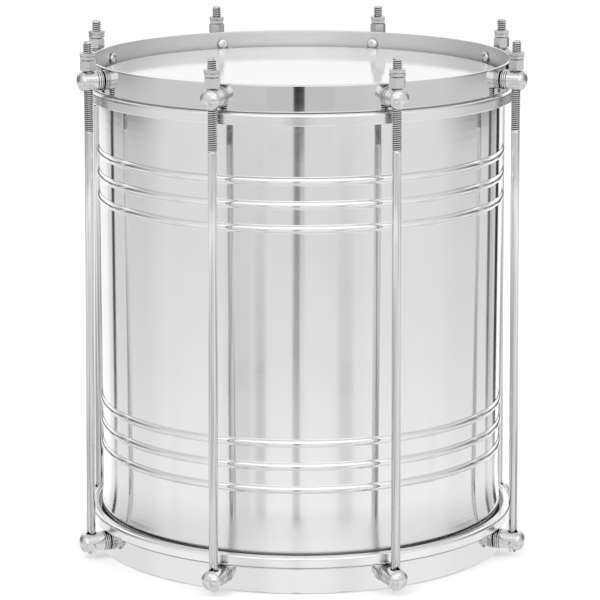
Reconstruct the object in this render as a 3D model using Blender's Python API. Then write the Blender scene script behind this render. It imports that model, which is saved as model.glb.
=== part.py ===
# A repinique: a small two-headed Brazilian hand-and-stick drum with a turned
# aluminium shell. Metres, +Z up, standing on its lower counter hoop, origin at
# the middle of the footprint. Lug 1 is front left (-Y is the front), and the
# lugs run on anticlockwise seen from above.

from math import cos, pi, radians, sin

import bmesh
import bpy
from mathutils import Matrix

# Whole drum
HEIGHT = 0.3110                 # lower rim to upper rim
LUGS = 8
FIRST_LUG = radians(-112.5)
FIT_GAP = 0.0003                # between pieces that touch
RING_STEPS = 48                 # facets round the big rings

# Shell: 10 inch aluminium tube with two groups of rolled beads
SHELL_RADIUS = 0.1270
SHELL_WALL = 0.0012
SHELL_INSET = 0.0110            # each bearing edge below its rim
EDGE_ROLL = 0.0025              # the bearing edge is rolled inwards
BEAD_RISE = 0.0016
BEAD_FOOT = 0.0027              # half of the bead's width at the wall
BEAD_FLANK = 0.0018             # half of its width at two thirds of the rise
BEAD_CREST = 0.0008             # half of its flat crest
BEAD_PITCH = 0.0144
UPPER_BEADS = 0.2386            # height of the middle bead of each group
LOWER_BEADS = 0.0786
LOWER_FLARE = 0.0015            # the tube's lower end spreads a little before it turns in
LOWER_SPREAD = (0.0570, 0.0242)  # heights where the spreading starts and ends
UPPER_TAPER = 0.0007            # its upper end draws in a little
UPPER_TAPER_START = 0.2640

# Counter hoops: flat chromed steel bands
HOOP_OUTER = 0.1324
HOOP_WALL = 0.0018
HOOP_HEIGHT = 0.0165
HOOP_EDGE = 0.0005

# Flesh hoops: aluminium channels that grip the film of each head
FLESH_OUTER = 0.1356
FLESH_INNER = 0.1313
FLESH_MOUTH = 0.1295
FLESH_HEIGHT = 0.0072
FLESH_LIP = 0.0020
FLESH_ROUND = 0.0007
FLESH_FOLD = 0.1292             # its foot is folded in to this radius
FLESH_FOLD_WALL = 0.0010

# Heads: polyester film drawn over the bearing edge
FILM = 0.0004
COLLAR_FOOT = 0.0014            # how far the collar reaches into the flesh hoop's mouth

# Lug posts: cross-drilled studs bolted through the counter hoops
ROD_CIRCLE = 0.1415
ROD_LEAN = 0.0026               # the rods' feet stand this much further out than their threads
POST_RADIUS = 0.0062
UPPER_POST_END = 0.1447         # where the dome starts
LOWER_POST_END = 0.1479
DOME_RISE = 0.0037
SPACER_END = 0.1364
SPACER_GROOVE = 0.00035
UPPER_POST = 0.3028
LOWER_POST = 0.0101
POST_STEPS = 12

# Screws that hold the posts, put in from inside the hoop
SCREW_RADIUS = 0.0020
SCREW_HEAD_RADIUS = 0.0037
SCREW_HEAD_RISE = 0.0018
SCREW_END = 0.1366
SCREW_STEPS = 10

# Tension rods
ROD_RADIUS = 0.00275
THREAD_RADIUS = 0.0030
THREAD_START = 0.2705
ROD_TIP = 0.3270
ROD_STEPS = 12
ROD_HOLE_PLAY = 0.0004
ROD_FOOT = 0.0010               # the round rod ends this far below the post's axis
TAIL_DROP = 0.0016              # the flattened tail stands this far under its post
TAIL_ROUND = 0.0045             # radius of the tail's rounded blade
TAIL_THIN = 0.0005              # half thickness of the blade at its top
TAIL_THICK = 0.0021             # half thickness at the post's underside

# Nuts: a tall tension nut with a jammed pair of thin nuts above it
ACROSS_FLATS = 0.0090
NUT_BORE = 0.00315
BORE_STEPS = 16
NUT_CHAMFER = 0.0004
TENSION_NUT = 0.0063
LOCK_NUTS = 0.0044
LOCK_GROOVE = 0.0004
# The angle of one corner of each nut, where it happened to stop, in degrees from +X
TENSION_NUT_TURNS = (31, 17, 25, 12, 10, 46, 45, 41)
LOCK_NUT_TURNS = (34, 14, 29, 26, 28, 31, 51, 37)

for old in list(bpy.data.objects):
    bpy.data.objects.remove(old)


def metal(name, colour, roughness, metallic=1.0):
    material = bpy.data.materials.new(name)
    material.use_nodes = True
    shader = material.node_tree.nodes["Principled BSDF"]
    shader.inputs["Base Color"].default_value = (*colour, 1.0)
    shader.inputs["Roughness"].default_value = roughness
    shader.inputs["Metallic"].default_value = metallic
    return material


POLISHED_ALUMINIUM = metal("polished_aluminium", (0.86, 0.86, 0.87), 0.16)
SATIN_ALUMINIUM = metal("satin_aluminium", (0.84, 0.84, 0.85), 0.30)
CHROME = metal("chrome", (0.80, 0.80, 0.81), 0.06)
STEEL = metal("zinc_plated_steel", (0.72, 0.72, 0.73), 0.25)
FILM_WHITE = metal("milky_film", (0.90, 0.90, 0.90), 0.20, 0.0)


def add(name, mesh, material, place=(0, 0, 0), turn=0.0, parent=None):
    """One named object, placed by its location and its turn about Z."""
    thing = bpy.data.objects.new(name, mesh)
    bpy.context.collection.objects.link(thing)
    thing.location = place
    thing.rotation_euler = (0, 0, turn)
    if not mesh.materials:
        mesh.materials.append(material)
    thing.parent = parent
    return thing


def spun(name, outline, steps, axis=(0, 0, 1), sharp=35):
    """The closed outline of (radius, height) points turned about an axis.

    The height runs along the axis: +Z, or +X for a part that lies radially.
    """
    shape = bmesh.new()
    lies_along_x = axis[0] == 1
    ends = [shape.verts.new((z, r, 0) if lies_along_x else (r, 0, z)) for r, z in outline]
    closed = outline[0][0] > 0 or outline[-1][0] > 0
    pairs = list(zip(ends, ends[1:]))
    if closed:
        pairs.append((ends[-1], ends[0]))
    edges = [shape.edges.new(pair) for pair in pairs]
    bmesh.ops.spin(shape, geom=ends + edges, cent=(0, 0, 0), axis=axis, angle=2 * pi,
                   steps=steps, use_merge=True)
    bmesh.ops.remove_doubles(shape, verts=shape.verts, dist=1e-6)
    bmesh.ops.recalc_face_normals(shape, faces=shape.faces)
    mesh = bpy.data.meshes.new(name)
    shape.to_mesh(mesh)
    shape.free()
    mesh.shade_smooth()
    mesh.set_sharp_from_angle(angle=radians(sharp))
    return mesh


def prism(name, section, half_length):
    """The (x, z) section drawn out along Y to both sides."""
    shape = bmesh.new()
    corners = [shape.verts.new((x, -half_length, z)) for x, z in section]
    face = shape.faces.new(corners)
    drawn = bmesh.ops.extrude_face_region(shape, geom=[face])
    moved = [v for v in drawn["geom"] if isinstance(v, bmesh.types.BMVert)]
    bmesh.ops.translate(shape, verts=moved, vec=(0, 2 * half_length, 0))
    bmesh.ops.recalc_face_normals(shape, faces=shape.faces)
    mesh = bpy.data.meshes.new(name)
    shape.to_mesh(mesh)
    shape.free()
    return mesh


def rod_cutter(name, radius, low, high, steps=POST_STEPS):
    """An upright cylinder between two heights, about the Z axis."""
    return spun(name, [(0, low), (radius, low), (radius, high), (0, high)], steps)


def combined(mesh, others, operation, sharp=35):
    """The mesh with other meshes cut away from it or joined to it."""
    base = bpy.data.objects.new("base", mesh)
    bpy.context.collection.objects.link(base)
    helpers = []
    for other in others:
        helper = bpy.data.objects.new("helper", other)
        bpy.context.collection.objects.link(helper)
        helper.hide_render = True
        helper.display_type = "WIRE"
        change = base.modifiers.new(operation, "BOOLEAN")
        change.operation = operation
        change.object = helper
        helpers.append(helper)
    seen = base.evaluated_get(bpy.context.evaluated_depsgraph_get())
    result = bpy.data.meshes.new_from_object(seen)
    result.name = mesh.name
    for helper in helpers:
        bpy.data.objects.remove(helper)
    bpy.data.objects.remove(base)
    result.materials.clear()
    result.shade_smooth()
    result.set_sharp_from_angle(angle=radians(sharp))
    return result


def upside_down(outline):
    """The same outline at the lower end of the drum."""
    return [(r, HEIGHT - z) for r, z in outline]


def lug_turn(number):
    return FIRST_LUG + (number - 1) * 2 * pi / LUGS


def bead(middle):
    """One rolled bead, as outline points from below to above."""
    crest = SHELL_RADIUS + BEAD_RISE
    flank = SHELL_RADIUS + BEAD_RISE * 2 / 3
    return [(SHELL_RADIUS, middle - BEAD_FOOT), (flank, middle - BEAD_FLANK), (crest, middle - BEAD_CREST),
            (crest, middle + BEAD_CREST), (flank, middle + BEAD_FLANK), (SHELL_RADIUS, middle + BEAD_FOOT)]


def flare(wall=0.0):
    """The lower end, from the straight part outwards and back in to the bearing edge."""
    start, end = LOWER_SPREAD
    line = [(SHELL_RADIUS - wall + LOWER_FLARE * t * t, start + (end - start) * t)
            for t in (0.0, 0.45, 0.75, 1.0)]
    return [*line, (SHELL_RADIUS - wall, end - 0.0052)]


def shell():
    """The tube, with its beads and with both edges rolled inwards."""
    low, high = SHELL_INSET + EDGE_ROLL, HEIGHT - SHELL_INSET - EDGE_ROLL
    middle = SHELL_RADIUS - EDGE_ROLL
    drawn = middle - UPPER_TAPER
    inner = EDGE_ROLL - SHELL_WALL

    def roll(middle, radius, centre, angles):
        return [(middle + radius * cos(radians(a)), centre + radius * sin(radians(a))) for a in angles]

    outline = roll(middle, EDGE_ROLL, low, (-90, -45, 0))
    outline += reversed(flare())
    for group in (LOWER_BEADS, UPPER_BEADS):
        for step in (-1, 0, 1):
            outline += bead(group + step * BEAD_PITCH)
    outline += [(SHELL_RADIUS, UPPER_TAPER_START),
                (SHELL_RADIUS - UPPER_TAPER / 4, (UPPER_TAPER_START + high) / 2)]
    outline += roll(drawn, EDGE_ROLL, high, (0, 45, 90))
    outline += roll(drawn, inner, high, (90, 0))
    outline += [(SHELL_RADIUS - SHELL_WALL, UPPER_TAPER_START)]
    outline += flare(SHELL_WALL)
    outline += roll(middle, inner, low, (0, -90))
    add("shell", spun("shell", outline, RING_STEPS), POLISHED_ALUMINIUM)


def screw_holes(height):
    """Eight short radial cylinders that cut the screw holes through a hoop."""
    holes = bmesh.new()
    for number in range(1, LUGS + 1):
        spin = Matrix.Rotation(lug_turn(number), 4, "Z")
        lie = Matrix.Rotation(pi / 2, 4, "Y")
        move = Matrix.Translation((HOOP_OUTER - HOOP_WALL / 2, 0, height))
        bmesh.ops.create_cone(holes, cap_ends=True, segments=SCREW_STEPS,
                              radius1=SCREW_RADIUS + FIT_GAP, radius2=SCREW_RADIUS + FIT_GAP,
                              depth=4 * HOOP_WALL, matrix=spin @ move @ lie)
    mesh = bpy.data.meshes.new("screw_holes")
    holes.to_mesh(mesh)
    holes.free()
    return mesh


def counter_hoops():
    """Two flat bands with softened rims, drilled for the lug screws."""
    inner = HOOP_OUTER - HOOP_WALL
    foot = HEIGHT - HOOP_HEIGHT
    outline = [(inner, foot), (HOOP_OUTER, foot), (HOOP_OUTER, HEIGHT - HOOP_EDGE),
               (HOOP_OUTER - HOOP_EDGE, HEIGHT), (inner + HOOP_EDGE, HEIGHT),
               (inner, HEIGHT - HOOP_EDGE)]
    band = spun("top_hoop", outline, RING_STEPS)
    upper = add("top_hoop", combined(band, [screw_holes(UPPER_POST)], "DIFFERENCE"), CHROME)
    band = spun("bottom_hoop", upside_down(outline), RING_STEPS)
    add("bottom_hoop", combined(band, [screw_holes(LOWER_POST)], "DIFFERENCE"), CHROME)
    return upper


def flesh_hoops():
    """The two channels, closed and rounded on the shell's side, crimped on the film's side."""
    top = HEIGHT - HOOP_HEIGHT - FIT_GAP
    foot = top - FLESH_HEIGHT
    shoulder = 2 * FLESH_ROUND
    outline = [(FLESH_MOUTH, top), (FLESH_OUTER - 2 * shoulder, top),
               (FLESH_OUTER - FLESH_ROUND, top - FLESH_ROUND),
               (FLESH_OUTER, top - FLESH_LIP), (FLESH_OUTER, foot + FLESH_ROUND),
               (FLESH_OUTER - FLESH_ROUND, foot), (FLESH_FOLD, foot),
               (FLESH_FOLD, foot + FLESH_FOLD_WALL), (FLESH_INNER, foot + FLESH_FOLD_WALL),
               (FLESH_INNER, top - FLESH_LIP), (FLESH_MOUTH, top - FLESH_LIP)]
    add("top_flesh_hoop", spun("top_flesh_hoop", outline, RING_STEPS), SATIN_ALUMINIUM)
    add("bottom_flesh_hoop", spun("bottom_flesh_hoop", upside_down(outline), RING_STEPS),
        SATIN_ALUMINIUM)


def heads():
    """Film from the middle over the bearing edge and down into the flesh hoop's mouth."""
    edge = HEIGHT - SHELL_INSET - EDGE_ROLL
    bend = SHELL_RADIUS - EDGE_ROLL
    inside = EDGE_ROLL + FIT_GAP
    outside = inside + FILM
    foot = HEIGHT - HOOP_HEIGHT - FIT_GAP - COLLAR_FOOT
    foot_radius = FLESH_MOUTH - FIT_GAP
    half = cos(pi / 4)
    outline = [(0, edge + outside), (bend, edge + outside),
               (bend + outside * half, edge + outside * half), (bend + outside, edge),
               (foot_radius, foot), (foot_radius - FILM, foot), (bend + inside, edge),
               (bend + inside * half, edge + inside * half), (bend, edge + inside),
               (0, edge + inside)]
    for name, line in (("top_head", outline), ("bottom_head", upside_down(outline))):
        add(name, spun(name, line, RING_STEPS), FILM_WHITE)


def post_outline(start, end):
    """Radial outline of a lug post from its dome back to its spacer's face."""
    dome = [(POST_RADIUS * 0.84, end + DOME_RISE * 0.42),
            (POST_RADIUS * 0.46, end + DOME_RISE * 0.84)]
    groove = [(POST_RADIUS, SPACER_END + SPACER_GROOVE),
              (POST_RADIUS - SPACER_GROOVE, SPACER_END),
              (POST_RADIUS, SPACER_END - SPACER_GROOVE)]
    return [(0, end + DOME_RISE), *reversed(dome), (POST_RADIUS, end), *groove,
            (POST_RADIUS, start)]


def at_rod(mesh, lean=0.0):
    """Moves an upright cutter out to the rod's place."""
    mesh.transform(Matrix.Translation((ROD_CIRCLE + lean, 0, 0)))
    return mesh


def tail_section(grow):
    """The wedge's (radial, height) section about the rod, grown all round by a gap."""
    low = -POST_RADIUS - TAIL_DROP
    thin, thick = TAIL_THIN + grow, TAIL_THICK + grow
    return [(-thin, grow), (-thick, -POST_RADIUS), (-thick * 0.8, low), (thick * 0.8, low),
            (thick, -POST_RADIUS), (thin, grow)]


def posts(upper_hoop):
    """Domed studs, drilled for the rods. The upper ones are tapped for their screws,
    and the lower ones carry theirs and are slotted underneath for the rods' tails."""
    start = HOOP_OUTER + FIT_GAP
    reach = 2 * POST_RADIUS
    tapped = SCREW_RADIUS + FIT_GAP
    drill = THREAD_RADIUS + ROD_HOLE_PLAY
    outline = [*post_outline(start, UPPER_POST_END), (tapped, start),
               (tapped, SCREW_END + FIT_GAP), (0, SCREW_END + FIT_GAP)]
    solid = spun("top_boss", outline, POST_STEPS, axis=(1, 0, 0))
    top = combined(solid, [at_rod(rod_cutter("drill", drill, -reach, reach))], "DIFFERENCE")

    face = HOOP_OUTER - HOOP_WALL - 2 * FIT_GAP
    back = face - SCREW_HEAD_RISE
    outline = [*post_outline(start, LOWER_POST_END), (SCREW_RADIUS, start), (SCREW_RADIUS, face),
               (SCREW_HEAD_RADIUS, face), (SCREW_HEAD_RADIUS * 0.7, back + SCREW_HEAD_RISE * 0.3),
               (0, back)]
    solid = spun("bottom_boss", outline, POST_STEPS, axis=(1, 0, 0))
    drill = ROD_RADIUS + ROD_HOLE_PLAY
    hole = at_rod(rod_cutter("drill", drill, -reach, reach), ROD_LEAN)
    section = tail_section(FIT_GAP)
    foot = min(z for _, z in section)
    slot = at_rod(prism("slot", [(x, z if z > foot else -reach) for x, z in section], reach), ROD_LEAN)
    low = combined(solid, [hole, slot], "DIFFERENCE")
    for number in range(1, LUGS + 1):
        turn = lug_turn(number)
        add(f"top_boss_{number}", top, CHROME, (0, 0, UPPER_POST), turn, upper_hoop)
        add(f"bottom_boss_{number}", low, CHROME, (0, 0, LOWER_POST), turn)


def screws(upper_hoop):
    """The pan-headed screws of the upper posts."""
    face = HOOP_OUTER - HOOP_WALL - 2 * FIT_GAP
    back = face - SCREW_HEAD_RISE
    outline = [(0, back), (SCREW_HEAD_RADIUS * 0.7, back + SCREW_HEAD_RISE * 0.3),
               (SCREW_HEAD_RADIUS, face), (SCREW_RADIUS, face), (SCREW_RADIUS, SCREW_END), (0, SCREW_END)]
    screw = spun("hoop_screw", outline, SCREW_STEPS, axis=(1, 0, 0))
    for number in range(1, LUGS + 1):
        add(f"hoop_screw_{number}", screw, STEEL, (0, 0, UPPER_POST), lug_turn(number), upper_hoop)


def rods():
    """Threaded and upright above, plain and leaning a little outwards below, and hammered
    out to a rounded wedge tail at the foot."""
    low = LOWER_POST - ROD_FOOT
    rounding = ROD_RADIUS * 0.4
    outline = [(0, low), (ROD_RADIUS - rounding, low), (ROD_RADIUS, low + rounding),
               (ROD_RADIUS, THREAD_START), (THREAD_RADIUS, THREAD_START + (THREAD_RADIUS - ROD_RADIUS)),
               (THREAD_RADIUS, ROD_TIP - rounding), (THREAD_RADIUS - rounding, ROD_TIP), (0, ROD_TIP)]
    straight = spun("rod", outline, ROD_STEPS)
    wedge = prism("wedge", tail_section(0), 2 * TAIL_ROUND)
    blade = [(0, -POST_RADIUS), (TAIL_ROUND, -POST_RADIUS), (TAIL_ROUND, POST_RADIUS), (0, POST_RADIUS)]
    disc = spun("disc", blade, 2 * ROD_STEPS, axis=(1, 0, 0))
    disc.transform(Matrix.Translation((0, 0, TAIL_ROUND - POST_RADIUS - TAIL_DROP)))
    tail = combined(wedge, [disc], "INTERSECT")
    tail.transform(Matrix.Translation((0, 0, LOWER_POST)))
    rod = combined(straight, [tail], "UNION")
    for vertex in rod.vertices:
        below = max(THREAD_START - vertex.co.z, 0.0)
        vertex.co.x += ROD_LEAN * below / (THREAD_START - LOWER_POST)
    for number in range(1, LUGS + 1):
        turn = lug_turn(number)
        add(f"rod_{number}", rod, STEEL, (ROD_CIRCLE * cos(turn), ROD_CIRCLE * sin(turn), 0), turn)


def hexagon(name, levels):
    """A bored hexagon: levels are (half width across the corners, height) from below."""
    shape = bmesh.new()
    rings = []
    for corner, height in levels:
        rings.append([shape.verts.new((corner * cos(i * pi / 3), corner * sin(i * pi / 3), height))
                      for i in range(6)])
    for below, above in zip(rings, rings[1:]):
        for i in range(6):
            j = (i + 1) % 6
            shape.faces.new((below[i], below[j], above[j], above[i]))
    shape.faces.new(reversed(rings[0]))
    shape.faces.new(rings[-1])
    mesh = bpy.data.meshes.new(name)
    shape.to_mesh(mesh)
    shape.free()
    low, high = levels[0][1], levels[-1][1]
    bore = rod_cutter("bore", NUT_BORE, low - NUT_BORE, high + NUT_BORE, BORE_STEPS)
    return combined(mesh, [bore], "DIFFERENCE")


def nuts(upper_hoop):
    """The tension nut rests on the upper post, with the jammed thin pair above it."""
    corner = ACROSS_FLATS / 2 / cos(pi / 6)
    small = corner - NUT_CHAMFER
    tall = hexagon("tension_nut", [(small, 0), (corner, NUT_CHAMFER), (corner, TENSION_NUT - NUT_CHAMFER),
                                   (small, TENSION_NUT)])
    middle = LOCK_NUTS / 2
    pair = hexagon("lock_nut", [(small, 0), (corner, NUT_CHAMFER), (corner, middle - LOCK_GROOVE),
                                (small, middle), (corner, middle + LOCK_GROOVE),
                                (corner, LOCK_NUTS - NUT_CHAMFER), (small, LOCK_NUTS)])
    seat = UPPER_POST + POST_RADIUS + FIT_GAP
    for number in range(1, LUGS + 1):
        turn = lug_turn(number)
        x, y = ROD_CIRCLE * cos(turn), ROD_CIRCLE * sin(turn)
        stopped = radians(TENSION_NUT_TURNS[number - 1])
        add(f"tension_nut_{number}", tall, STEEL, (x, y, seat), stopped, upper_hoop)
        stopped = radians(LOCK_NUT_TURNS[number - 1])
        add(f"lock_nut_{number}", pair, STEEL, (x, y, seat + TENSION_NUT + FIT_GAP), stopped, upper_hoop)


shell()
top_hoop = counter_hoops()
flesh_hoops()
heads()
posts(top_hoop)
screws(top_hoop)
rods()
nuts(top_hoop)
bpy.context.view_layer.update()
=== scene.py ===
from math import atan2, cos, hypot, pi, radians, sin, tau

import bmesh
import bpy
from mathutils import Matrix, Vector


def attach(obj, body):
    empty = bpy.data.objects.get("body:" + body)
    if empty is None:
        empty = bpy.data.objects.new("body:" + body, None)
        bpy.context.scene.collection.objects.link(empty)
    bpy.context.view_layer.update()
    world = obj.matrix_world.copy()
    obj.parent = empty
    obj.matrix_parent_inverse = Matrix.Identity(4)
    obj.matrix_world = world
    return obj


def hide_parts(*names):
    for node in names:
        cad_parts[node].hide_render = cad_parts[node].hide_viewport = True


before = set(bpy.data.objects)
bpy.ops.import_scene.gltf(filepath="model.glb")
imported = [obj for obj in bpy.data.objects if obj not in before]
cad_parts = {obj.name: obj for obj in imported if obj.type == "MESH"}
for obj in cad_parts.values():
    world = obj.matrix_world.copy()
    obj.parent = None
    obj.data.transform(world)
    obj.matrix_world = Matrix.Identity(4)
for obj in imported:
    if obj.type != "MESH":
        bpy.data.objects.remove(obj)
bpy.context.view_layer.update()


# Shell
# The tube of the drum: thin aluminium sheet rolled round, welded up the back and polished,
# with two groups of three beads rolled into it and both bearing edges turned inwards.

DRUM_HEIGHT = 0.3110
SHELL_RADIUS = 0.1270
SHELL_WALL = 0.0012
SHELL_INSET = 0.0110
EDGE_ROLL = 0.0025
BEAD_RISE = 0.0016
BEAD_HALF = 0.0027
BEAD_FILLET = 0.0006
BEAD_PITCH = 0.0144
BEAD_GROUPS = (0.0786, 0.2386)
# where the lower end's spreading starts, where it is widest, by how much, and where it is back in
LOWER_FLARE = (0.0600, 0.0265, 0.0015, 0.0190)
FLARE_POWER = 3.5
UPPER_TAPER = 0.0007
UPPER_TAPER_START = 0.2640
ALUMINIUM = (0.90, 0.902, 0.906)


def held(outline, near=0.0002):
    """The closed outline with a point close to both ends of each long side, to keep it flat."""
    points = []
    for here, after in zip(outline, outline[1:] + outline[:1]):
        points.append(here)
        length = hypot(after[0] - here[0], after[1] - here[1])
        if length > 5 * near and max(here[0], after[0]) > 1e-7:
            for part in (near / length, 1 - near / length):
                points.append((here[0] + (after[0] - here[0]) * part, here[1] + (after[1] - here[1]) * part))
    return points


def lathe(name, outline, steps=256, sharp=32):
    """The closed (radius, height) outline turned about Z, with poles where the radius is nought."""
    shape = bmesh.new()
    outline = held(outline)
    rings = []
    for radius, height in outline:
        if radius < 1e-7:
            rings.append([shape.verts.new((0, 0, height))] * steps)
            continue
        rings.append([shape.verts.new((radius * cos(tau * i / steps), radius * sin(tau * i / steps), height))
                      for i in range(steps)])
    closes = outline[0][0] > 1e-7
    pairs = list(zip(rings, rings[1:]))
    if closes:
        pairs.append((rings[-1], rings[0]))
    for low, high in pairs:
        for i in range(steps):
            j = (i + 1) % steps
            corners = list(dict.fromkeys((low[i], low[j], high[j], high[i])))
            if len(corners) > 2:
                shape.faces.new(corners)
    bmesh.ops.recalc_face_normals(shape, faces=shape.faces)
    return meshed(name, shape, sharp)


def meshed(name, shape, sharp=32):
    """The finished bmesh as a mesh, smooth but for its real edges."""
    mesh = bpy.data.meshes.new(name)
    shape.to_mesh(mesh)
    shape.free()
    mesh.shade_smooth()
    mesh.set_sharp_from_angle(angle=radians(sharp))
    return mesh


def piece(name, mesh, body, slot, *nodes):
    """A piece of the drum that rides on its body and stands for its CAD nodes."""
    thing = bpy.data.objects.new(name, mesh)
    bpy.context.scene.collection.objects.link(thing)
    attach(thing, body)
    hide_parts(*nodes)
    return thing


def put(tree, kind, inputs=None, **settings):
    """A node with its settings, and with values or links on its inputs."""
    made = tree.nodes.new(kind)
    for key, value in settings.items():
        setattr(made, key, value)
    for key, value in (inputs or {}).items():
        socket = made.inputs[key]
        if isinstance(value, bpy.types.NodeSocket):
            tree.links.new(value, socket)
        else:
            socket.default_value = value
    return made


def sums(tree, operation, *values, clamp=False):
    """The result of one Math node."""
    made = put(tree, "ShaderNodeMath", dict(enumerate(values)), operation=operation, use_clamp=clamp)
    return made.outputs[0]


def new_group(name, inputs, outputs):
    """A shader node group with named sockets, and its two end nodes."""
    tree = bpy.data.node_groups.new(name, "ShaderNodeTree")
    for label, kind, default in inputs:
        socket = tree.interface.new_socket(label, in_out="INPUT", socket_type="NodeSocket" + kind)
        socket.default_value = default
    for label, kind in outputs:
        tree.interface.new_socket(label, in_out="OUTPUT", socket_type="NodeSocket" + kind)
    return tree, tree.nodes.new("NodeGroupInput"), tree.nodes.new("NodeGroupOutput")


def noise(tree, vector, scale, detail=2.0, rough=0.5):
    """The value of a Noise Texture on the given coordinates."""
    made = put(tree, "ShaderNodeTexNoise",
               {"Vector": vector, "Scale": scale, "Detail": detail, "Roughness": rough})
    return made.outputs["Fac"]


def worked_metal_group():
    """Slow waves in the sheet, fine lines that the tool left, and a thin haze of handling."""
    tree, start, end = new_group(
        "worked_metal",
        [("Line Stretch", "Vector", (1500.0, 1500.0, 4.0)), ("Line Depth", "Float", 0.0),
         ("Wave Stretch", "Vector", (22.0, 22.0, 9.0)), ("Wave Depth", "Float", 0.0),
         ("Haze Scale", "Float", 30.0)],
        [("Tone", "Float"), ("Haze", "Float"), ("Normal", "Vector")])
    here = put(tree, "ShaderNodeTexCoord").outputs["Object"]
    lines = put(tree, "ShaderNodeMapping", {"Vector": here, "Scale": start.outputs["Line Stretch"]})
    waves = put(tree, "ShaderNodeMapping", {"Vector": here, "Scale": start.outputs["Wave Stretch"]})
    fine = noise(tree, lines.outputs[0], 1.0, 3.0, 0.6)
    slow = noise(tree, waves.outputs[0], 1.0, 1.0, 0.4)
    patches = put(tree, "ShaderNodeTexNoise", {"Vector": here, "Scale": start.outputs["Haze Scale"],
                                               "Detail": 5.0, "Roughness": 0.62}).outputs["Fac"]
    waved = put(tree, "ShaderNodeBump", {"Height": slow, "Distance": start.outputs["Wave Depth"]})
    lined = put(tree, "ShaderNodeBump", {"Height": fine, "Distance": start.outputs["Line Depth"],
                                         "Normal": waved.outputs[0]})
    haze = sums(tree, "ADD", sums(tree, "MULTIPLY", patches, 0.65), sums(tree, "MULTIPLY", fine, 0.35))
    clear = put(tree, "ShaderNodeMapRange", {0: haze, 1: 0.38, 2: 0.68})
    tone = put(tree, "ShaderNodeMapRange", {0: fine, 1: 0.3, 2: 0.7, 3: 0.93, 4: 1.0})
    tree.links.new(tone.outputs[0], end.inputs["Tone"])
    tree.links.new(clear.outputs[0], end.inputs["Haze"])
    tree.links.new(lined.outputs[0], end.inputs["Normal"])
    return tree


WORKED_METAL = worked_metal_group()


def new_finish(name, metallic=1.0, **sockets):
    """A material with its Principled shader, and constant sockets set on it."""
    material = bpy.data.materials.new(name)
    material.use_nodes = True
    shader = material.node_tree.nodes["Principled BSDF"]
    shader.inputs["Metallic"].default_value = metallic
    for key, value in sockets.items():
        shader.inputs[key.replace("_", " ")].default_value = value
    return material, material.node_tree, shader


def metal(name, colour, roughness, haze, lines, line_depth, waves, wave_depth, haze_scale=30.0):
    """A worked metal: its colour, its gloss, and how its lines and waves run."""
    material, tree, shader = new_finish(name)
    work = put(tree, "ShaderNodeGroup", node_tree=WORKED_METAL)
    work.inputs["Line Stretch"].default_value = lines
    work.inputs["Line Depth"].default_value = line_depth
    work.inputs["Wave Stretch"].default_value = waves
    work.inputs["Wave Depth"].default_value = wave_depth
    work.inputs["Haze Scale"].default_value = haze_scale
    rough = put(tree, "ShaderNodeMapRange", {0: work.outputs["Haze"], 3: roughness, 4: roughness + haze})
    dull = tuple(c * 0.9 for c in colour)
    mixed = put(tree, "ShaderNodeMix", data_type="RGBA")
    tree.links.new(work.outputs["Tone"], mixed.inputs[0])
    mixed.inputs[6].default_value = (*dull, 1)
    mixed.inputs[7].default_value = (*colour, 1)
    tree.links.new(mixed.outputs[2], shader.inputs["Base Color"])
    tree.links.new(rough.outputs[0], shader.inputs["Roughness"])
    tree.links.new(work.outputs["Normal"], shader.inputs["Normal"])
    return material, tree, shader, work


def bead(middle):
    """One rolled bead, from below to above: a round back between two small fillets."""
    tilt = 2 * atan2(BEAD_RISE, BEAD_HALF)
    back = BEAD_HALF / sin(tilt) - BEAD_FILLET
    foot = [(SHELL_RADIUS + BEAD_FILLET * (1 - cos(a)), BEAD_HALF - BEAD_FILLET * sin(a))
            for a in (tilt * k / 4 for k in range(4))]
    crest = [(SHELL_RADIUS + BEAD_RISE - back * (1 - cos(a)), back * sin(a))
             for a in (tilt * k / 7 for k in range(-7, 8))]
    return [*((r, middle - z) for r, z in foot), *((r, middle + z) for r, z in crest),
            *((r, middle + z) for r, z in reversed(foot))]


def flare(start, bend, rise, end, wall=0.0):
    """The lower end of the tube: it spreads, turns over, and runs back in to the bearing edge."""
    pull = FLARE_POWER * rise / (bend - start) * (end - bend)
    spread = [(rise * t ** FLARE_POWER, start + (bend - start) * t) for t in (k / 12 for k in range(13))]
    over = [(rise * (1 - t * t * (3 - 2 * t)) + pull * t * (1 - t) ** 2, bend + (end - bend) * t)
            for t in (k / 10 for k in range(1, 11))]
    return [(SHELL_RADIUS - wall + r, z) for r, z in spread + over]


def shell_outline():
    """The tube's section, from its lower bearing edge up its outside and down its inside."""
    low, high = SHELL_INSET + EDGE_ROLL, DRUM_HEIGHT - SHELL_INSET - EDGE_ROLL
    middle = SHELL_RADIUS - EDGE_ROLL
    turn = [pi / 2 * k / 8 for k in range(9)]
    outline = [(middle + EDGE_ROLL * sin(a), low - EDGE_ROLL * cos(a)) for a in turn]
    outline += reversed(flare(*LOWER_FLARE))
    for group in BEAD_GROUPS:
        for step in (-1, 0, 1):
            outline += bead(group + step * BEAD_PITCH)
    taper = [(SHELL_RADIUS - UPPER_TAPER * t ** 2, UPPER_TAPER_START + (high - UPPER_TAPER_START) * t)
             for t in (k / 6 for k in range(6))]
    outline += taper
    drawn = middle - UPPER_TAPER
    outline += [(drawn + EDGE_ROLL * cos(a), high + EDGE_ROLL * sin(a)) for a in turn]
    inner = EDGE_ROLL - SHELL_WALL
    outline += [(drawn + inner * sin(a), high + inner * cos(a)) for a in turn]
    outline += [(r - SHELL_WALL, z) for r, z in reversed(taper)]
    outline += flare(*LOWER_FLARE, SHELL_WALL)
    outline += [(middle + inner * cos(a), low - inner * sin(a)) for a in turn]
    return outline


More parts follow.
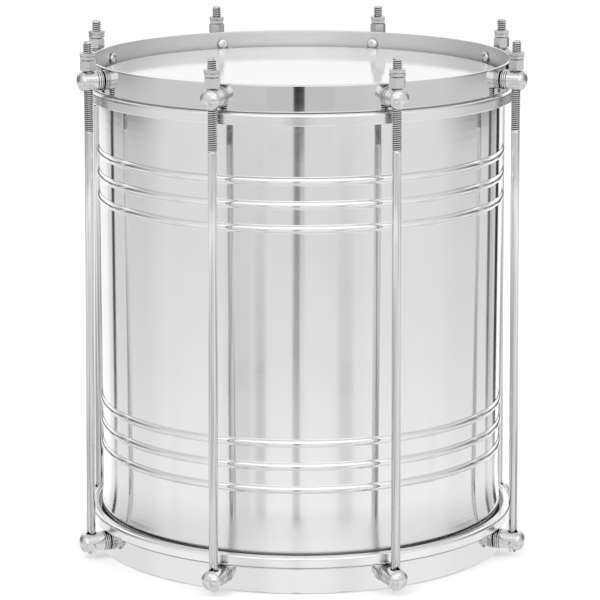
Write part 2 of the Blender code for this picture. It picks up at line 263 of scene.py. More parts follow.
def polished_tube():
    """Bright sheet rubbed round and round, a little uneven, with the weld's faint line up the back.

    It is duller low down at the front and back, and painted darker where it enters the lower flesh hoop, as
    the shade in the gap there.
    """
    material, tree, shader, work = metal("polished_tube", ALUMINIUM, 0.085, 0.05,
                                         (3.0, 3.0, 1500.0), 3.0e-7, (24.0, 24.0, 7.0), 4.0e-5)
    shader.inputs["Anisotropic"].default_value = 0.95
    shader.inputs["Anisotropic Rotation"].default_value = 0.25
    round_the_tube = put(tree, "ShaderNodeTangent", direction_type="RADIAL", axis="Z")
    tree.links.new(round_the_tube.outputs[0], shader.inputs["Tangent"])
    here = put(tree, "ShaderNodeSeparateXYZ",
               {0: put(tree, "ShaderNodeTexCoord").outputs["Object"]})
    side = sums(tree, "ABSOLUTE", here.outputs["X"])
    weld = put(tree, "ShaderNodeMapRange", {0: side, 1: 0.0012, 2: 0.0004}, interpolation_type="SMOOTHSTEP")
    weld = sums(tree, "MULTIPLY", weld.outputs[0], sums(tree, "GREATER_THAN", here.outputs["Y"], 0.0))
    raised = put(tree, "ShaderNodeBump", {"Height": weld, "Distance": 0.00015,
                                          "Normal": work.outputs["Normal"]})
    tree.links.new(raised.outputs[0], shader.inputs["Normal"])
    dull_end = put(tree, "ShaderNodeMapRange", {0: here.outputs["Z"], 1: 0.052, 2: 0.034, 3: 0.0, 4: 0.22},
                   interpolation_type="SMOOTHSTEP").outputs[0]
    handled = put(tree, "ShaderNodeMapRange", {0: side, 1: 0.095, 2: 0.045}).outputs[0]
    polish = shader.inputs["Roughness"].links[0].from_socket
    tree.links.new(sums(tree, "MULTIPLY_ADD", dull_end, handled, polish), shader.inputs["Roughness"])
    # painted shade: the tube darkens towards grey where it enters the lower flesh hoop, standing in for the
    # shade in the gap between them
    gap_shade = put(tree, "ShaderNodeMapRange", {0: here.outputs["Z"], 1: 0.0252, 2: 0.0232, 3: 0.0, 4: 0.6})
    gap_shaded = put(tree, "ShaderNodeMix", {0: gap_shade.outputs[0]}, data_type="RGBA")
    tree.links.new(shader.inputs["Base Color"].links[0].from_socket, gap_shaded.inputs[6])
    gap_shaded.inputs[7].default_value = (0.42, 0.42, 0.42, 1)
    tree.links.new(gap_shaded.outputs[2], shader.inputs["Base Color"])
    return material


shell_mesh = lathe("shell_tube", shell_outline(), 300)
shell_mesh.materials.append(polished_tube())
piece("shell_tube", shell_mesh, "drum", "polished_aluminium", "shell")


# Counter hoops
# Flat bands of chromed steel with their rims rolled smooth. The upper one presses the upper
# head's flesh hoop down, and the lower one is what the drum stands on.

HOOP_OUTER = 0.1324
HOOP_WALL = 0.0018
HOOP_HEIGHT = 0.0165
CHROME = (0.765, 0.767, 0.772)


def eased(outline, radii, cuts=4):
    """The closed outline with its corners rounded, all alike or each its own, but not on the axis."""
    soft = []
    count = len(outline)
    for i, here in enumerate(outline):
        radius = radii[i] if isinstance(radii, tuple) else radii
        before, after = outline[i - 1], outline[(i + 1) % count]
        if here[0] < 1e-7:
            soft.append(here)
            continue
        p, a, b = Vector(here), Vector(before), Vector(after)
        reach_a = min(radius, (a - p).length * 0.48)
        reach_b = min(radius, (b - p).length * 0.48)
        start = p + (a - p).normalized() * reach_a
        end = p + (b - p).normalized() * reach_b
        for k in range(cuts + 1):
            t = k / cuts
            q = start * (1 - t) ** 2 + p * (2 * t * (1 - t)) + end * t ** 2
            soft.append((q.x, q.y))
    return soft


def radius_of(tree):
    """How far a point of the piece is from the drum's axis."""
    here = put(tree, "ShaderNodeSeparateXYZ", {0: put(tree, "ShaderNodeTexCoord").outputs["Object"]})
    x, y = here.outputs["X"], here.outputs["Y"]
    return sums(tree, "SQRT", sums(tree, "ADD", sums(tree, "MULTIPLY", x, x), sums(tree, "MULTIPLY", y, y)))


def chromed_band():
    """Bright chrome outside, and thinner, duller chrome on the inside of the band."""
    material, tree, shader, work = metal("chromed_band", CHROME, 0.03, 0.05, (4.0, 4.0, 1400.0), 1.0e-7,
                                         (18.0, 18.0, 30.0), 3.0e-5)
    inside = put(tree, "ShaderNodeMapRange", {0: radius_of(tree), 1: HOOP_OUTER - 0.6 * HOOP_WALL,
                                              2: HOOP_OUTER - 0.9 * HOOP_WALL}).outputs[0]
    polish = shader.inputs["Roughness"].links[0].from_socket
    satin = put(tree, "ShaderNodeMix", {0: inside, 2: polish, 3: 0.34}, data_type="FLOAT")
    tree.links.new(satin.outputs[0], shader.inputs["Roughness"])
    return material


HOOP_CHROME = chromed_band()
hoop_foot = DRUM_HEIGHT - HOOP_HEIGHT
band = [(HOOP_OUTER - HOOP_WALL, hoop_foot), (HOOP_OUTER, hoop_foot),
        (HOOP_OUTER, DRUM_HEIGHT), (HOOP_OUTER - HOOP_WALL, DRUM_HEIGHT)]
upper_band = eased(band, 0.0008, 5)
lower_band = [(r, DRUM_HEIGHT - z) for r, z in upper_band]
for name, outline, body in (("top_hoop", upper_band, "upper_hoop"), ("bottom_hoop", lower_band, "drum")):
    mesh = lathe(name + "_band", outline, 320)
    mesh.materials.append(HOOP_CHROME)
    piece(name + "_band", mesh, body, "hoop_chrome", name)


# Flesh hoops
# Channels of drawn aluminium that grip the edge of each film, rounded on the shoulder that
# the counter hoop rests on and folded in at the foot. The lower one stands further off the tube.

FLESH_OUTER = 0.1356
FLESH_INNER = 0.1313
FLESH_MOUTH = 0.1295
FLESH_HEIGHT = 0.0072
FLESH_LIP = 0.0020
UPPER_FOLD = 0.1292
LOWER_FOLD = 0.1308
FOLD_WALL = 0.0010
UPPER_CORNERS = (0.0005, 0.0017, 0.0006, 0.0006, 0.0003, 0.0003, 0.0004, 0.0004)
LOWER_CORNERS = (0.0005, 0.0013, 0.0019, 0.0006, 0.0003, 0.0003, 0.0004, 0.0004)
FIT_GAP = 0.0003


def drawn_channel():
    """Bright drawn aluminium, with painted shade inside the lower channel and where it bears on its counter
    hoop.
    """
    material, tree, shader, work = metal("drawn_channel", (0.92, 0.922, 0.926), 0.17, 0.08,
                                         (6.0, 6.0, 1800.0), 3.0e-7, (30.0, 30.0, 60.0), 2.0e-5)
    here = put(tree, "ShaderNodeSeparateXYZ", {0: put(tree, "ShaderNodeTexCoord").outputs["Object"]})
    bearing_face = HOOP_HEIGHT + FIT_GAP
    # painted shade: the lower channel's outer foot darkens where it bears on its counter hoop, for the shade
    # at that joint
    seam = put(tree, "ShaderNodeMapRange", {0: here.outputs["Z"], 1: bearing_face + 0.0010,
                                            2: bearing_face + 0.0004, 3: 0.0, 4: 0.9}).outputs[0]
    seam = sums(tree, "MULTIPLY", seam, sums(tree, "GREATER_THAN", radius_of(tree), FLESH_OUTER - 0.0016))
    # painted shade: the lower channel's inner wall, under its fold, darkens as a recess in shade
    within = put(tree, "ShaderNodeMapRange", {0: radius_of(tree), 1: FLESH_INNER + 0.0006,
                                              2: FLESH_INNER + 0.0001}).outputs[0]
    deep = put(tree, "ShaderNodeMapRange", {0: here.outputs["Z"], 1: bearing_face + FLESH_HEIGHT - 0.0003,
                                            2: bearing_face + FLESH_HEIGHT - 0.0009}).outputs[0]
    inside = sums(tree, "MULTIPLY", sums(tree, "MULTIPLY", within, deep), 0.45)
    channel_shade = put(tree, "ShaderNodeMix", {0: sums(tree, "MAXIMUM", seam, inside)}, data_type="RGBA")
    tree.links.new(shader.inputs["Base Color"].links[0].from_socket, channel_shade.inputs[6])
    channel_shade.inputs[7].default_value = (0.12, 0.12, 0.12, 1)
    tree.links.new(channel_shade.outputs[2], shader.inputs["Base Color"])
    return material


FLESH_ALUMINIUM = drawn_channel()
flesh_top = DRUM_HEIGHT - HOOP_HEIGHT - FIT_GAP


def channel(fold):
    """The upper channel's section, with its foot folded in as far as the given radius."""
    foot = flesh_top - FLESH_HEIGHT
    return [(FLESH_MOUTH, flesh_top), (FLESH_OUTER, flesh_top), (FLESH_OUTER, foot), (fold, foot),
            (fold, foot + FOLD_WALL), (FLESH_INNER, foot + FOLD_WALL),
            (FLESH_INNER, flesh_top - FLESH_LIP), (FLESH_MOUTH, flesh_top - FLESH_LIP)]


upper_channel = eased(channel(UPPER_FOLD), UPPER_CORNERS, 6)
lower_channel = eased([(r, DRUM_HEIGHT - z) for r, z in channel(LOWER_FOLD)], LOWER_CORNERS, 6)
for name, outline in (("top_flesh_hoop", upper_channel), ("bottom_flesh_hoop", lower_channel)):
    mesh = lathe(name + "_channel", outline, 320)
    mesh.materials.append(FLESH_ALUMINIUM)
    piece(name + "_channel", mesh, "drum", "flesh_hoop_aluminium", name)


# Heads
# Milky polyester film, drawn down over the bearing edge into its flesh hoop. It is smooth and
# glossy, and lets a little of the dark inside show through.

FILM = 0.0004
COLLAR_FOOT = 0.0014


def milky_film():
    """Cloudy white film, a little slack, with fine grit in its coating."""
    material, tree, shader = new_finish("milky_film", 0.0, IOR=1.57)
    here = put(tree, "ShaderNodeTexCoord").outputs["Object"]
    cloudy = noise(tree, here, 45.0, 4.0, 0.55)
    specks = noise(tree, here, 1400.0, 2.0, 0.5)
    tone = put(tree, "ShaderNodeMapRange", {0: cloudy, 1: 0.3, 2: 0.7, 3: 0.0, 4: 1.0})
    mixed = put(tree, "ShaderNodeMix", {0: tone.outputs[0]}, data_type="RGBA")
    mixed.inputs[6].default_value = (0.66, 0.66, 0.655, 1)
    mixed.inputs[7].default_value = (0.69, 0.69, 0.685, 1)
    tree.links.new(mixed.outputs[2], shader.inputs["Base Color"])
    rough = put(tree, "ShaderNodeMapRange", {0: cloudy, 1: 0.3, 2: 0.7, 3: 0.06, 4: 0.11})
    tree.links.new(rough.outputs[0], shader.inputs["Roughness"])
    slack = noise(tree, here, 14.0, 1.0, 0.4)
    rise = put(tree, "ShaderNodeBump", {"Height": slack, "Distance": 4.0e-5})
    grit = put(tree, "ShaderNodeBump", {"Height": specks, "Distance": 2.0e-7, "Normal": rise.outputs[0]})
    tree.links.new(grit.outputs[0], shader.inputs["Normal"])
    return material


def head_outline():
    """The upper film's section, from its middle out over the bearing edge and back beneath."""
    edge = DRUM_HEIGHT - SHELL_INSET - EDGE_ROLL
    bend = SHELL_RADIUS - EDGE_ROLL
    inside = EDGE_ROLL + FIT_GAP
    outside = inside + FILM
    foot = flesh_top - COLLAR_FOOT
    foot_radius = FLESH_MOUTH - FIT_GAP
    turn = [radians(78) * k / 8 for k in range(9)]
    upper = [(bend + outside * sin(a), edge + outside * cos(a)) for a in turn]
    under = [(bend + inside * sin(a), edge + inside * cos(a)) for a in reversed(turn)]
    rim = [(foot_radius, foot), (foot_radius - FILM, foot)]
    return [(0, edge + outside), (0.06, edge + outside), (0.11, edge + outside), *upper, *rim, *under,
            (0.11, edge + inside), (0.06, edge + inside), (0, edge + inside)]


FILM_WHITE = milky_film()
for name, flip in (("top_head", False), ("bottom_head", True)):
    outline = head_outline()
    if flip:
        outline = [(r, DRUM_HEIGHT - z) for r, z in outline]
    mesh = lathe(name + "_film", outline, 256)
    mesh.materials.append(FILM_WHITE)
    piece(name + "_film", mesh, "drum", "milky_film", name)


# Tension rods
# Drawn steel rods, bright zinc plated: plain for most of their length, where they lean a little
# outwards, with a thread rolled up to a larger crest at the top, and hammered out below to a
# tail that can't turn in its post.

LUGS = 8
FIRST_LUG = radians(-112.5)
ROD_CIRCLE = 0.1415
ROD_LEAN = 0.0026
ROD_RADIUS = 0.00275
THREAD_CREST = 0.00310
THREAD_ROOT = 0.00250
THREAD_PITCH = 0.00127
THREAD_START = 0.2705
ROD_TIP = 0.3270
LOWER_POST = 0.0101
POST_RADIUS = 0.0062
ROD_COLUMNS = 20
ROWS_PER_TURN = 6
ROD_FOOT = 0.0010
TAIL_DROP = 0.0016
TAIL_ROUND = 0.0045
TAIL_THIN = 0.0005
TAIL_THICK = 0.0021
BRIGHT_ZINC = (0.82, 0.822, 0.826)
# the groove attribute's value on plain rod
PLAIN = 0.35


def lug_angle(number):
    """The bearing of a lug, counted from the front left one."""
    return FIRST_LUG + (number - 1) * tau / LUGS


def ring_of(radius, z, column):
    """A point of a rod, on one of the columns that run along it."""
    angle = tau * column / ROD_COLUMNS
    return radius * cos(angle), radius * sin(angle), z


def helix():
    """Rows of points that climb one pitch in each turn, from the thread's start to the rod's tip."""
    turns = int((ROD_TIP - THREAD_START) / THREAD_PITCH) + 2
    rows = []
    for k in range(-ROWS_PER_TURN, turns * ROWS_PER_TURN):
        row = []
        for c in range(ROD_COLUMNS):
            z = THREAD_START + (k / ROWS_PER_TURN + c / ROD_COLUMNS) * THREAD_PITCH
            z = min(max(z, THREAD_START), ROD_TIP)
            row.append(ring_of(rod_radius_at(z, k % ROWS_PER_TURN), z, c))
        rows.append(row)
    return rows


def rod_radius_at(z, row):
    """The thread grows out of the plain rod in one turn, and its tip is bevelled."""
    crest = (0.0, 0.55, 1.0, 1.0, 0.55, 0.0)[row]
    cut = THREAD_ROOT + (THREAD_CREST - THREAD_ROOT) * crest
    grow = min(max((z - THREAD_START) / (1.3 * THREAD_PITCH), 0.0), 1.0)
    radius = ROD_RADIUS + (cut - ROD_RADIUS) * grow
    return min(radius, THREAD_CREST - 0.0008 + (ROD_TIP - z))


def rod_shape():
    """A closed rod. Its last and first columns are one pitch apart, so that seam is closed by rows."""
    shape = bmesh.new()
    foot = LOWER_POST - ROD_FOOT
    plain = [[ring_of(r, z, c) for c in range(ROD_COLUMNS)]
             for r, z in ((0.0016, foot), (ROD_RADIUS, foot + 0.001), (ROD_RADIUS, THREAD_START - 0.0002))]
    rows = [[shape.verts.new(p) for p in row] for row in plain + helix()]
    for low, high in zip(rows, rows[1:]):
        for c in range(ROD_COLUMNS - 1):
            shape.faces.new((low[c], low[c + 1], high[c + 1], high[c]))
    plain, thread = rows[:len(plain)], rows[len(plain):]
    for low, high in zip(plain, plain[1:]):
        shape.faces.new((low[-1], low[0], high[0], high[-1]))
    turn = ROWS_PER_TURN
    for k in range(len(thread) - turn - 1):
        shape.faces.new((thread[k][-1], thread[k + turn][0], thread[k + turn + 1][0], thread[k + 1][-1]))
    shape.faces.new((plain[-1][-1], plain[-1][0], thread[turn][0], thread[0][-1]))
    low_pole = shape.verts.new((0, 0, foot))
    high_pole = shape.verts.new((0, 0, ROD_TIP))
    for c in range(ROD_COLUMNS):
        d = (c + 1) % ROD_COLUMNS
        shape.faces.new((low_pole, rows[0][d], rows[0][c]))
        shape.faces.new((high_pole, rows[-1][c], rows[-1][d]))
    bmesh.ops.remove_doubles(shape, verts=shape.verts, dist=2e-6)
    bmesh.ops.dissolve_degenerate(shape, dist=1e-6, edges=shape.edges)
    bmesh.ops.recalc_face_normals(shape, faces=shape.faces)
    return shape


def tail(shape):
    """The rounded blade below the post's middle, thick at its edge."""
    cuts = 24
    disc = TAIL_ROUND - POST_RADIUS - TAIL_DROP

    def half_thickness(z):
        t = min(max(-z / POST_RADIUS, 0.0), 1.0)
        return TAIL_THIN + (TAIL_THICK - TAIL_THIN) * t - max(0.0, -z - POST_RADIUS) * 0.5

    rims = []
    for side in (-1, 1):
        rim = []
        for k in range(cuts):
            a = tau * k / cuts
            y, z = TAIL_ROUND * sin(a), min(disc + TAIL_ROUND * cos(a), 0.0)
            rim.append(shape.verts.new((side * half_thickness(z), y, z + LOWER_POST)))
        rims.append(rim)
    for k in range(cuts):
        m = (k + 1) % cuts
        shape.faces.new((rims[0][k], rims[0][m], rims[1][m], rims[1][k]))
    shape.faces.new(reversed(rims[0]))
    shape.faces.new(rims[1])
    bmesh.ops.recalc_face_normals(shape, faces=shape.faces)


def grooved_zinc():
    """Zinc with streaks from drawing, with a painted highlight on the thread's crests and painted shade down
    in its roots.
    """
    material, tree, shader, work = metal("zinc_rod", BRIGHT_ZINC, 0.08, 0.06, (2600.0, 2600.0, 12.0), 3.0e-7,
                                         (60.0, 60.0, 12.0), 1.5e-5, 90.0)
    groove = put(tree, "ShaderNodeAttribute", attribute_name="groove").outputs["Fac"]
    # painted highlight on the thread's crests and painted shade in its roots, both following the groove
    # attribute
    crest = put(tree, "ShaderNodeMapRange", {0: groove, 1: PLAIN, 2: 0.0, 3: 0.0, 4: 1.0}).outputs[0]
    root = put(tree, "ShaderNodeMapRange", {0: groove, 1: PLAIN, 2: 1.0, 3: 0.0, 4: 1.0}).outputs[0]
    here = put(tree, "ShaderNodeTexCoord").outputs["Object"]
    streaks = put(tree, "ShaderNodeMapping", {"Vector": here, "Scale": (620.0, 620.0, 5.0)}).outputs[0]
    drawn = noise(tree, streaks, 1.0)
    drawn = put(tree, "ShaderNodeMapRange", {0: drawn, 1: 0.36, 2: 0.52, 3: 1.0, 4: 0.0}).outputs[0]
    colour = shader.inputs["Base Color"].links[0].from_socket
    for share, tone in ((drawn, 0.50), (crest, 0.92), (root, 0.10)):
        mixed = put(tree, "ShaderNodeMix", {0: share}, data_type="RGBA")
        tree.links.new(colour, mixed.inputs[6])
        mixed.inputs[7].default_value = (tone, tone, tone * 1.01, 1)
        colour = mixed.outputs[2]
    tree.links.new(colour, shader.inputs["Base Color"])
    polish = shader.inputs["Roughness"].links[0].from_socket
    tree.links.new(sums(tree, "MULTIPLY_ADD", root, 0.25, polish), shader.inputs["Roughness"])
    return material


def mark_grooves(mesh):
    """Writes for each point of a rod if it is on a crest (0), on plain rod, or in a root (1)."""
    depth = mesh.attributes.new("groove", "FLOAT", "POINT")
    for vertex, value in zip(mesh.vertices, depth.data):
        sunk = (THREAD_CREST - hypot(vertex.co.x, vertex.co.y)) / (THREAD_CREST - THREAD_ROOT)
        threaded = THREAD_START + THREAD_PITCH < vertex.co.z < ROD_TIP - 0.001
        value.value = min(max(sunk, 0.0), 1.0) if threaded else PLAIN


def lug_ring_tree():
    """Stands copies of a lug's piece round the drum, turned to face outwards."""
    tree = bpy.data.node_groups.new("lugs_round_the_drum", "GeometryNodeTree")
    tree.interface.new_socket("Geometry", in_out="INPUT", socket_type="NodeSocketGeometry")
    for label, kind in (("Lugs", "Int"), ("First Angle", "Float"), ("Step", "Float"),
                        ("Circle Radius", "Float"), ("Own Turn", "Float"), ("Finish", "Material")):
        tree.interface.new_socket(label, in_out="INPUT", socket_type="NodeSocket" + kind)
    tree.interface.new_socket("Geometry", in_out="OUTPUT", socket_type="NodeSocketGeometry")
    start, end = tree.nodes.new("NodeGroupInput"), tree.nodes.new("NodeGroupOutput")
    count = tree.nodes.new("GeometryNodeInputIndex").outputs[0]
    angle = sums(tree, "MULTIPLY_ADD", count, start.outputs["Step"], start.outputs["First Angle"])
    out_x = sums(tree, "MULTIPLY", sums(tree, "COSINE", angle), start.outputs["Circle Radius"])
    out_y = sums(tree, "MULTIPLY", sums(tree, "SINE", angle), start.outputs["Circle Radius"])
    place = put(tree, "ShaderNodeCombineXYZ", {"X": out_x, "Y": out_y}).outputs[0]
    facing = put(tree, "ShaderNodeCombineXYZ", {"Z": angle}).outputs[0]
    own = put(tree, "ShaderNodeCombineXYZ", {"Z": start.outputs["Own Turn"]}).outputs[0]
    own = put(tree, "FunctionNodeEulerToRotation", {0: own}).outputs[0]
    facing = put(tree, "FunctionNodeEulerToRotation", {0: facing}).outputs[0]
    turned = put(tree, "GeometryNodeTransform", {"Geometry": start.outputs["Geometry"], "Rotation": own})
    points = put(tree, "GeometryNodePoints", {"Count": start.outputs["Lugs"], "Position": place})
    copies = put(tree, "GeometryNodeInstanceOnPoints", {"Points": points.outputs[0],
                                                       "Instance": turned.outputs[0], "Rotation": facing})
    real = put(tree, "GeometryNodeRealizeInstances", {0: copies.outputs[0]})
    dressed = put(tree, "GeometryNodeSetMaterial", {"Geometry": real.outputs[0],
                                                    "Material": start.outputs["Finish"]})
    tree.links.new(dressed.outputs[0], end.inputs[0])
    return tree


LUG_RING = lug_ring_tree()


def at_lugs(mesh, finish, first=1, lugs=LUGS, circle=0.0, own_turn=0.0):
    """The mesh of a lug's piece, copied to its lugs and baked to one plain mesh."""
    carrier = bpy.data.objects.new(mesh.name, mesh)
    bpy.context.scene.collection.objects.link(carrier)
    ring = carrier.modifiers.new("lugs", "NODES")
    ring.node_group = LUG_RING
    values = {"Lugs": lugs, "First Angle": lug_angle(first), "Step": tau / LUGS,
              "Circle Radius": circle, "Own Turn": own_turn, "Finish": finish}
    for socket in LUG_RING.interface.items_tree:
        if socket.name in values:
            ring[socket.identifier] = values[socket.name]
    bpy.context.view_layer.update()
    baked = bpy.data.meshes.new_from_object(carrier.evaluated_get(bpy.context.evaluated_depsgraph_get()))
    bpy.data.objects.remove(carrier)
    return baked


rod_part = meshed("rod_part", rod_shape(), 50)
tail_shape = bmesh.new()
tail_shape.from_mesh(rod_part)
tail(tail_shape)
rod_part = meshed("rod_part", tail_shape, 50)
mark_grooves(rod_part)
for vertex in rod_part.vertices:
    vertex.co.x += ROD_LEAN * max(THREAD_START - vertex.co.z, 0.0) / (THREAD_START - LOWER_POST)
rods = at_lugs(rod_part, grooved_zinc(), circle=ROD_CIRCLE)
piece("tension_rods", rods, "drum", "rod_steel", *(f"rod_{n}" for n in range(1, LUGS + 1)))


# Lug posts
# Turned studs with domed ends, chromed all over and drilled across for the rods. A collar
# spaces each one off its hoop. The lower posts are slotted underneath for the rods' tails.

UPPER_POST = 0.3028
POST_START = HOOP_OUTER + FIT_GAP
SPACER_END = 0.1364
SPACER_GROOVE = 0.00030
RING_PITCH = 0.00125
UPPER_POST_END = 0.1447
LOWER_POST_END = 0.1479
DOME_RISE = 0.0037
UPPER_HOLE = 0.0034
LOWER_HOLE = 0.0031
HOLE_MOUTH = 0.0004
SLOT_REACH = 0.009


def post_outline(end):
    """From the dome's middle back along the post to its face on the hoop."""
    dome = [(POST_RADIUS * sin(pi / 2 * k / 14), end + DOME_RISE * cos(pi / 2 * k / 14))
            for k in range(15)]
    groove = SPACER_GROOVE
    side = eased([(0, end), (POST_RADIUS, SPACER_END + groove),
                  (POST_RADIUS - groove, SPACER_END), (POST_RADIUS, SPACER_END - groove),
                  (POST_RADIUS, POST_START), (0, POST_START)], 0.0009, 5)
    return dome + [p for p in side[6:-1]]


def lying(mesh, height):
    """Lays a mesh that was turned about Z along +X, at its height on the drum."""
    mesh.transform(Matrix.Translation((0, 0, height)) @ Matrix.Rotation(pi / 2, 4, "Y"))
    mesh.update()
    return mesh


def drilled(name, mesh, tools):
    """The mesh with the tools' shapes cut away."""
    carrier = bpy.data.objects.new(name, mesh)
    bpy.context.scene.collection.objects.link(carrier)
    cutters = []
    for tool in tools:
        cutter = bpy.data.objects.new(name + "_tool", tool)
        bpy.context.scene.collection.objects.link(cutter)
        cut = carrier.modifiers.new("cut", "BOOLEAN")
        cut.operation = "DIFFERENCE"
        cut.solver = "EXACT"
        cut.object = cutter
        cutters.append(cutter)
    bpy.context.view_layer.update()
    result = bpy.data.meshes.new_from_object(carrier.evaluated_get(bpy.context.evaluated_depsgraph_get()))
    for thing in [carrier, *cutters]:
        bpy.data.objects.remove(thing)
    result.materials.clear()
    result.shade_smooth()
    result.set_sharp_from_angle(angle=radians(30))
    return result


def drill(radius, height, place):
    """A drill through a post, opening out a little at both mouths."""
    reach, wide = POST_RADIUS + 0.002, radius + HOLE_MOUTH
    outline = [(0, -reach), (radius + 0.002, -reach), (wide, -POST_RADIUS + 0.0002),
               (radius, -POST_RADIUS + 0.0011), (radius, POST_RADIUS - 0.0011),
               (wide, POST_RADIUS - 0.0002), (radius + 0.002, reach), (0, reach)]
    tool = lathe("drill", outline, 32)
    tool.transform(Matrix.Translation((place, 0, height)))
    return tool


def slot_cutter(height):
    """The wedge-shaped slot under a lower post."""
    shape = bmesh.new()
    gap = FIT_GAP
    section = [(-TAIL_THIN - gap, gap), (-TAIL_THICK - gap, -POST_RADIUS), (-TAIL_THICK - gap, -SLOT_REACH),
               (TAIL_THICK + gap, -SLOT_REACH), (TAIL_THICK + gap, -POST_RADIUS), (TAIL_THIN + gap, gap)]
    ends = []
    for y in (-SLOT_REACH, SLOT_REACH):
        ends.append([shape.verts.new((ROD_CIRCLE + ROD_LEAN + x, y, height + z)) for x, z in section])
    for k in range(len(section)):
        m = (k + 1) % len(section)
        shape.faces.new((ends[0][k], ends[0][m], ends[1][m], ends[1][k]))
    shape.faces.new(reversed(ends[0]))
    shape.faces.new(ends[1])
    bmesh.ops.recalc_face_normals(shape, faces=shape.faces)
    return meshed("slot", shape)


def turned_chrome():
    """Chrome over lathe marks that run round each post, with rings of painted shade round its collar,
    standing in for turned grooves.
    """
    material, tree, shader, work = metal("turned_chrome", CHROME, 0.15, 0.10, (300.0, 300.0, 300.0), 1.0e-7,
                                         (90.0, 90.0, 90.0), 1.0e-5, 120.0)
    out = radius_of(tree)
    marks = put(tree, "ShaderNodeTexNoise", {"W": sums(tree, "MULTIPLY", out, 4200.0), "Scale": 1.0},
                noise_dimensions="1D")
    cut = put(tree, "ShaderNodeBump", {"Height": marks.outputs[0], "Distance": 6.0e-7,
                                       "Normal": work.outputs["Normal"]})
    tree.links.new(cut.outputs[0], shader.inputs["Normal"])
    # painted shade: dark rings at the ring pitch round the collar, where the shade of turned grooves would
    # fall
    along = sums(tree, "PINGPONG", sums(tree, "SUBTRACT", out, SPACER_END), RING_PITCH / 2)
    ring = put(tree, "ShaderNodeMapRange", {0: along, 1: 0.00036, 2: 0.00016}).outputs[0]
    ring = sums(tree, "MULTIPLY", ring, sums(tree, "LESS_THAN", out, SPACER_END + 0.0004))
    groove_shaded = put(tree, "ShaderNodeMix", {0: sums(tree, "MULTIPLY", ring, 0.85)}, data_type="RGBA")
    tree.links.new(shader.inputs["Base Color"].links[0].from_socket, groove_shaded.inputs[6])
    groove_shaded.inputs[7].default_value = (0.07, 0.07, 0.07, 1)
    tree.links.new(groove_shaded.outputs[2], shader.inputs["Base Color"])
    return material


POST_CHROME = turned_chrome()
upper_post = drilled("upper_post", lying(lathe("post", post_outline(UPPER_POST_END), 72), UPPER_POST),
                     [drill(UPPER_HOLE, UPPER_POST, ROD_CIRCLE)])
lower_post = drilled("lower_post", lying(lathe("post", post_outline(LOWER_POST_END), 72), LOWER_POST),
                     [drill(LOWER_HOLE, LOWER_POST, ROD_CIRCLE + ROD_LEAN),
                      slot_cutter(LOWER_POST)])
piece("upper_posts", at_lugs(upper_post, POST_CHROME), "upper_hoop", "boss_chrome",
      *(f"top_boss_{n}" for n in range(1, LUGS + 1)))


# Hoop screws
# Zinc plated screws with rounded, cross-cut heads, driven from inside each hoop into its posts.
# Those of the lower hoop sit below the lower head.

SCREW_RADIUS = 0.0020
SCREW_HEAD_RADIUS = 0.0037
SCREW_HEAD_RISE = 0.0018
SCREW_END = 0.1366
HOOP_INSIDE = HOOP_OUTER - HOOP_WALL - 2 * FIT_GAP


def zinc(name, colour, roughness, haze, lines):
    """Plain bright zinc plating over the marks that the tool left."""
    material, *_ = metal(name, colour, roughness, haze, lines, 4.0e-7, (60.0, 60.0, 12.0), 1.5e-5, 90.0)
    return material


def screw_outline():
    """From the middle of the rounded head out to its rim, then along the shank to its end."""
    back, rise = HOOP_INSIDE - SCREW_HEAD_RISE, SCREW_HEAD_RISE * 0.75
    cap = [(SCREW_HEAD_RADIUS * sin(a), back + rise * (1 - cos(a)))
           for a in (pi / 2 * k / 8 for k in range(9))]
    return [*cap, (SCREW_HEAD_RADIUS, HOOP_INSIDE), (SCREW_RADIUS, HOOP_INSIDE),
            (SCREW_RADIUS, SCREW_END), (0, SCREW_END)]


def driver_blades(height):
    """The two blades that sink the driver's cross into a screw's head."""
    blades = []
    for wide, high in ((0.0036, 0.0008), (0.0008, 0.0036)):
        shape = bmesh.new()
        made = bmesh.ops.create_cube(shape, size=1.0)
        bmesh.ops.scale(shape, vec=(0.0022, wide, high), verts=made["verts"])
        bmesh.ops.translate(shape, vec=(HOOP_INSIDE - SCREW_HEAD_RISE, 0, height), verts=made["verts"])
        blades.append(meshed("blade", shape))
    return blades


SCREW_ZINC = zinc("zinc_screw", (0.80, 0.805, 0.81), 0.12, 0.10, (700.0, 700.0, 700.0))
screws = {}
for label, height in (("upper", UPPER_POST), ("lower", LOWER_POST)):
    solid = lying(lathe("screw", screw_outline(), 40), height)
    screws[label] = drilled(label + "_screw", solid, driver_blades(height))
piece("upper_screws", at_lugs(screws["upper"], SCREW_ZINC), "upper_hoop", "screw_steel",
      *(f"hoop_screw_{n}" for n in range(1, LUGS + 1)))
piece("lower_posts", at_lugs(lower_post, POST_CHROME), "drum", "boss_chrome",
      *(f"bottom_boss_{n}" for n in range(1, LUGS + 1)))
lower_screws = bpy.data.objects.new("lower_screws", at_lugs(screws["lower"], SCREW_ZINC))
bpy.context.scene.collection.objects.link(lower_screws)
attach(lower_screws, "drum")


# Nuts
# On each rod a tall hexagon nut bears on the upper post, with two thin nuts jammed together
# above it. They are machined steel, zinc plated, and each has stopped at its own angle.

ACROSS_FLATS = 0.0090
NUT_BORE = 0.00315
TENSION_NUT = 0.0063
LOCK_NUTS = 0.0044
THIN_SLIT = 0.00004
# the angle of one corner of each nut, in degrees from +X
TALL_TURNS = (31, 17, 25, 12, 10, 46, 45, 41)
THIN_TURNS = (34, 14, 29, 26, 28, 31, 51, 37)
NUT_SEAT = UPPER_POST + POST_RADIUS + FIT_GAP


